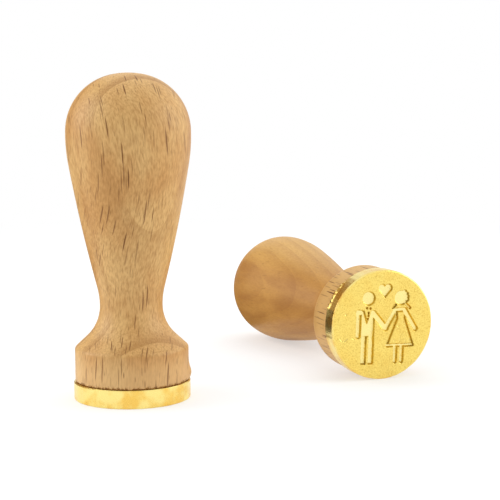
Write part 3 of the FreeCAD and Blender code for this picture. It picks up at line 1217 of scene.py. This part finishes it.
    def worn(self, angle: np.ndarray) -> tuple[np.ndarray, np.ndarray]:
        """Wall's profile at each angle, with soft dents, and a rough bead on the lying head's back edge.

        Args:
            angle: angle of each column.

        Returns:
            Radius and height on a grid of profile steps by columns.
        """
        outline = self.wall_profile()
        radius, height = (np.repeat(outline[:, at:at + 1], angle.size, axis=1) for at in (0, 1))
        seed = WALL_SEEDS[self.stance]
        outer = ease(radius, *(self.radius - inset for inset in self.worn_inset))
        dents = self.dent * np.clip(1 + wavy(angle, self.dent_numbers, seed), 0, 3)
        knocks = self.knock * np.clip(wavy(angle, self.knock_numbers, seed + 1) - self.knock_onset, 0, 2)
        radius = radius - outer * (dents + knocks)
        if self.stance is Stance.LYING:
            away = np.abs(turn_from(angle, self.bead_bearing))
            reach = ease(away, *(math.radians(limit) for limit in self.bead_reach))
            lumps = self.bead_lumps * rough(angle * self.radius, height, self.bead_cell, seed + 2)
            bead = np.clip(self.bead_size + lumps, *self.bead_limits)
            radius = radius + outer * reach * bead * ease(height, *self.bead_rise)
        return radius, height

    def build(self) -> bpy.types.Object:
        """Head as one closed mesh: the face's grid, bands round the wall and back, and the seat's floor.

        Returns:
            The piece, with attributes for the painted shade on the picture's walls, for its pale floors with
            a painted highlight on the walls that face the light, and for the sandy face.
        """
        grid, wall_shade, pale = self.face()
        numbers = np.arange(wall_shade.size).reshape(wall_shade.shape)
        rim = np.concatenate([numbers[0, :-1], numbers[:-1, -1], numbers[-1, :0:-1], numbers[:0:-1, 0]])
        flat = grid.reshape(-1, 3)
        angle = np.arctan2(flat[rim, 1], flat[rim, 0])
        radius, height = self.worn(angle)
        points = np.vstack([flat, ring_points(radius, height, angle), [(0, 0, self.seat_floor)]])
        quads = np.stack([numbers[:-1, :-1], numbers[1:, :-1], numbers[1:, 1:], numbers[:-1, 1:]], axis=-1)
        loops = np.vstack([rim, len(flat) + np.arange(radius.size).reshape(radius.shape)])
        faces = quads.reshape(-1, 4).tolist()
        faces += band_faces(loops)
        faces += fan_faces(loops[-1], len(points) - 1, upward=True)
        piece = piece_of(f"{self.stance.value}_engraved_seal", self.place.in_row(points), faces)
        # The wall attribute is painted shade; the floor attribute is pale floors and a painted highlight on
        # lit walls
        sandy = 1 - self.pale_smoothness * pale
        for key, part in (("wall", wall_shade), ("floor", pale), ("sand", sandy)):
            note(piece, key, np.pad(part.ravel(), (0, len(points) - part.size)))
        return piece


@dataclass(frozen=True)
class Stud:
    """Stud with a rolled right-hand thread and chamfered ends.

    Flank is where a side of the thread meets the root and the crest, in pitches from the crest's middle.
    """

    stance: Stance
    place: Place
    major: float = 3.0
    minor: float = 2.5
    pitch: float = 1.0
    flank: Point = (0.44, 0.06)
    low: float = 1.7
    high: float = 13.9
    chamfer: float = 0.5
    turns: int = 72
    steps: int = 150

    def build(self) -> bpy.types.Object:
        """Thread as a radius that rises and falls once for each pitch, later for each part of a turn.

        Returns:
            The piece.
        """
        angle = np.linspace(0, TURN, self.turns, endpoint=False)
        height = np.linspace(self.low, self.high, self.steps)[:, None] + 0 * angle
        phase = (height / self.pitch - angle / TURN) % 1.0
        crest = ease(np.abs(phase - 0.5), *self.flank)
        radius = self.minor + (self.major - self.minor) * crest
        end = np.minimum(height - self.low, self.high - height)
        radius = np.minimum(radius, self.major - self.chamfer + end)
        return turned(f"{self.stance.value}_threaded_stud", radius, height, angle, (self.low, self.high),
                      self.place)


@dataclass(frozen=True)
class Stamp:
    """One stamp: its handle rides on its grip, its stud on its screw and its seal on its head; its insert is
    dressed where it lies.
    """

    stance: Stance
    beech: Beech
    seal: SealBrass = SealBrass()
    stud: MachinedMetal = MachinedMetal("#c3c6ca", "#8f9296", (0.22, 0.42))
    insert: MachinedMetal = MachinedMetal("#d8b25a", "#a87b33", (0.24, 0.44))

    def settle(self, piece: bpy.types.Object, node: str, body: str,
               finish: bpy.types.Material) -> None:
        """Give a new piece its finish, its body and the node that it stands for.

        Args:
            piece: the new piece.
            node: last words of the node's name.
            body: last word of the body's name.
            finish: its material.
        """
        piece.data.materials.append(finish)
        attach(piece, f"{self.stance.value}_{body}")
        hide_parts(f"{self.stance.value}_{node}")
        LOG.info("%s: %d faces", piece.name, len(piece.data.polygons))

    def build(self) -> None:
        """Build the stamp's pieces and dress its insert, which stays as it is packed."""
        place = Place.of(self.stance)
        name = self.stance.value
        handle = Handle(self.stance, place)
        self.settle(handle.build(), "handle", "grip",
                    self.beech.dress(f"{name}_turned_beech", place, handle.foot, handle.collar_radius))
        self.settle(SealHead(self.stance, place).build(), "seal_head", "head",
                    self.seal.dress(f"{name}_cast_brass"))
        self.settle(Stud(self.stance, place).build(), "stud", "screw",
                    self.stud.dress(f"{name}_zinc_plated_steel", place))
        insert = frame["nodes"][f"{name}_insert"]
        insert.data.materials.clear()
        insert.data.materials.append(self.insert.dress(f"{name}_machined_brass", place))
        LOG.info("%s: dressed", insert.name)


@dataclass(frozen=True)
class Softbox:
    """Square soft lamp: its place, side and aim in metres, its power, and whether it shows in brass."""

    name: str
    at: Spot
    watts: float
    mirrored: bool = True
    side: float = 0.7
    aim: Spot = (0.03, 0.02, 0.03)

    def build(self) -> None:
        """Set up the lamp, turned to its aim."""
        data = bpy.data.lights.new(self.name, "AREA")
        data.shape = "SQUARE"
        data.size = self.side
        data.energy = self.watts
        lamp = bpy.data.objects.new(self.name, data)
        way = np.array(self.aim) - np.array(self.at)
        yaw = math.atan2(way[1], way[0])
        pitch = math.atan2(way[2], math.hypot(way[0], way[1]))
        lamp.location = self.at
        lamp.rotation_euler = (math.pi / 2 + pitch, 0, yaw - math.pi / 2)
        lamp.visible_glossy = self.mirrored
        bpy.context.scene.collection.objects.link(lamp)


@dataclass(frozen=True)
class Flag:
    """Dark felt card with its corners in metres.

    One that is mirrored is seen by brass alone, which turns brown where it faces the card. Any other only
    holds back soft light from its side.
    """

    name: str
    felt: str
    mirrored: bool
    corners: tuple[Spot, ...]

    def build(self) -> None:
        """Set up the card, which the camera never sees."""
        card = piece_of(self.name, np.array(self.corners, float), [[0, 1, 2, 3]])
        felt, _ = new_material(f"{self.name}_felt", {"Base Color": linear(self.felt), "Roughness": 1.0,
                                                     "Specular IOR Level": 0.0})
        card.data.materials.append(felt)
        card.visible_camera = False
        card.visible_diffuse = not self.mirrored
        card.visible_glossy = self.mirrored
        card.visible_shadow = False


@dataclass(frozen=True)
class Studio:
    """White table and room, soft lamps on both sides, dark cards, and the camera of the photograph."""

    camera_at: Spot = (25.8, -317.6, 70.7)
    camera_pitch: float = 7.0
    camera_roll: float = 0.4
    camera_clip: Point = (0.01, 60.0)
    focal_pixels: float = 1500.0
    image_pixels: float = 500.0
    sensor: float = 36.0
    floor_reach: float = 12.0
    floor_white: str = "#fafafa"
    floor_glow: float = 0.5
    shadow_middle: Spot = (0.03, 0.03, 0)
    shadow_reach: Point = (0.16, 0.34)
    room_light: float = 0.95
    lamps: tuple[Softbox, ...] = (
        Softbox("left_softbox", (-0.8, 0.05, 0.4), 4.3),
        Softbox("right_softbox", (0.9, 0.05, 0.4), 3.3),
        Softbox("back_softbox", (0.05, 0.4, 0.85), 1.6, mirrored=False),
    )
    flags: tuple[Flag, ...] = (
        Flag("low_flag", "#2e1704", True,
             ((-0.3, 0.038, 0.0004), (0.024, 0.038, 0.0004), (0.024, 0.32, 0.0004), (-0.3, 0.32, 0.0004))),
        Flag("left_flag", "#2e1704", True,
             ((-0.3, 0.05, 0.0), (-0.3, 0.6, 0.0), (-0.3, 0.6, 0.075), (-0.3, 0.05, 0.075))),
        Flag("upper_flag", "#866130", True,
             ((-0.3, 0.05, 0.075), (-0.3, 0.9, 0.075), (-0.3, 0.9, 0.7), (-0.3, 0.05, 0.7))),
        Flag("front_flag", "#a2a2a2", False,
             ((0.7, -0.9, 0.0), (-0.8, -0.9, 0.0), (-0.8, -0.9, 1.1), (0.7, -0.9, 1.1))),
    )

    def camera(self) -> None:
        """Camera that looks along +Y and down by its pitch, with the lens for its focal length in pixels."""
        data = bpy.data.cameras.new("view")
        data.sensor_width = self.sensor
        data.lens = self.focal_pixels / self.image_pixels * self.sensor
        data.clip_start, data.clip_end = self.camera_clip
        eye = bpy.data.objects.new("view", data)
        eye.location = [at * MM for at in self.camera_at]
        eye.rotation_euler = (math.radians(90 - self.camera_pitch), math.radians(self.camera_roll), 0)
        bpy.context.scene.collection.objects.link(eye)
        bpy.context.scene.camera = eye

    def floor(self) -> None:
        """Wide flat table top: white card that takes shadows near the stamps, and plain white far off."""
        reach = self.floor_reach
        corners = [(-reach, -reach, 0), (reach, -reach, 0), (reach, reach, 0), (-reach, reach, 0)]
        floor = piece_of("table_top", np.array(corners, float), [[0, 1, 2, 3]])
        card, shader = new_material("white_card", {"Base Color": linear(self.floor_white), "Roughness": 0.9,
                                                   "Specular IOR Level": 0.0})
        tree = card.node_tree
        spot = add(tree, "TexCoord", [], "Object")
        away = add(tree, "VectorMath", [spot, self.shadow_middle], "Value", operation="DISTANCE")
        far = add(tree, "MapRange", [away, *self.shadow_reach, self.floor_glow, 1], **SMOOTH)
        glow = add(tree, "Emission", {"Color": WHITE, "Strength": 1.0})
        both = add(tree, "MixShader", [far, shader.outputs[0], glow])
        tree.links.new(both, tree.nodes["Material Output"].inputs["Surface"])
        floor.data.materials.append(card)

    def room(self) -> None:
        """White room: as bright as white paper where it is seen or mirrored, a little softer as light."""
        world = bpy.data.worlds.new("white_room")
        bpy.context.scene.world = world
        world.use_nodes = True
        tree = world.node_tree
        ray = add(tree, "LightPath", []).node.outputs
        seen = ray["Is Camera Ray"]
        for key in ("Is Glossy Ray", "Is Transmission Ray"):
            seen = add(tree, "Math", [seen, ray[key]], operation="MAXIMUM")
        strength = add(tree, "MapRange", [seen, 0, 1, self.room_light, 1])
        back = tree.nodes["Background"]
        back.inputs["Color"].default_value = WHITE
        tree.links.new(strength, back.inputs["Strength"])

    def build(self) -> None:
        """Set up the camera, table, room, lamps and dark cards."""
        bpy.context.scene.view_settings.view_transform = "Standard"
        self.camera()
        self.floor()
        self.room()
        for part in self.lamps + self.flags:
            part.build()


def main() -> None:
    """Build both stamps and the studio; each new piece's face count goes to the log."""
    logging.basicConfig(level=logging.INFO, format="%(name)s: %(message)s")
    for stance, beech in ((Stance.STANDING, Beech()), (Stance.LYING, LYING_BEECH)):
        Stamp(stance, beech).build()
    Studio().build()


if __name__ == "__main__":
    main()
